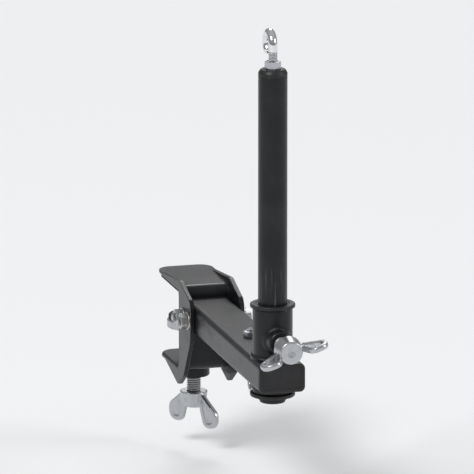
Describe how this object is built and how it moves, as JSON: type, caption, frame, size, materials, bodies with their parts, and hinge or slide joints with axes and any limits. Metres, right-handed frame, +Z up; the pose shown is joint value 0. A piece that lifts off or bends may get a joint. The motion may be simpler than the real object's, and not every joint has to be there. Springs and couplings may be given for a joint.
{
  "type": "table tennis net clamp",
  "caption": "Screw clamp for a table's side edge, with an arm carrying a height-adjustable round post, wing screws and wire hooks for a net.",
  "frame": {"origin": "where the clamp screw's axis meets the table's top face, on the lower face of the upper jaw's rubber pad", "axes": "+Z up; +Y in over the table, square to its side edge, which lies at y = -23 mm; the arm and post stand out towards -Y; X along the table's side edge"},
  "size_m": [0.0424, 0.242, 0.2625],
  "materials": {
    "powder_coat": "black powder coat, satin, fine orange peel",
    "zinc_plate": "bright zinc plate",
    "cast_wing": "tumbled and zinc plated casting",
    "chrome_wire": "bright chrome",
    "pressed_disc": "zinc plated pressing",
    "jaw_rubber": "matt moulded rubber",
    "black_nylon": "moulded nylon, fine grain",
    "white_nylon": "natural nylon"
  },
  "bodies": {
    "clamp": {"clamp_frame": "powder_coat", "upper_jaw_pad": "jaw_rubber", "edge_pad": "jaw_rubber", "screw_bush": "powder_coat", "outrigger_arm": "powder_coat", "arm_bolts": "zinc_plate", "arm_washers": "zinc_plate", "arm_nuts": "zinc_plate", "arm_end_plug": "black_nylon", "post_socket": "powder_coat", "guide_bushes": "black_nylon", "lock_boss": "powder_coat", "tie_hook": "chrome_wire", "tie_hook_nuts": "zinc_plate"},
    "post": {"post_tube": "powder_coat", "post_foot_plug": "black_nylon", "post_cap": "black_nylon", "cord_hook": "chrome_wire", "hook_nut": "zinc_plate"},
    "lock_slider": {"lock_shoe": "white_nylon"},
    "lock_turner": {"lock_screw": "zinc_plate", "lock_wing": "cast_wing"},
    "clamp_slider": {"thrust_washer": "zinc_plate"},
    "clamp_turner": {"clamp_screw": "zinc_plate", "clamp_wing": "cast_wing"},
    "foot": {"pressure_disc": "pressed_disc", "foot_pad": "jaw_rubber"}
  },
  "joints": [
    {"name": "post_height", "type": "slide", "parent": "clamp", "child": "post", "axis": [0, 0, 1], "range_m": [-0.012, 0.008]},
    {"name": "lock_travel", "type": "slide", "parent": "clamp", "child": "lock_slider", "axis": [0, 1, 0], "range_m": [-0.00375, 0]},
    {"name": "lock_turn", "type": "hinge", "parent": "lock_slider", "child": "lock_turner", "pos_m": [0, -0.1675, 0.009], "axis": [0, 1, 0], "range_deg": [-1080, 0]},
    {"name": "clamp_travel", "type": "slide", "parent": "clamp", "child": "clamp_slider", "axis": [0, 0, 1], "range_m": [-0.01125, 0.0075]},
    {"name": "screw_turn", "type": "hinge", "parent": "clamp_slider", "child": "clamp_turner", "pos_m": [0, 0, -0.05], "axis": [0, 0, 1], "range_deg": [-3240, 2160]},
    {"name": "foot_tilt", "type": "hinge", "parent": "clamp_slider", "child": "foot", "pos_m": [0, 0, -0.026], "axis": [1, 0, 0], "range_deg": [-4, 4]}
  ],
  "couplings": [
    {"joint": "screw_turn", "follows": "clamp_travel", "rad_per_m": 5026.5},
    {"joint": "lock_turn", "follows": "lock_travel", "rad_per_m": 5026.5}
  ]
}
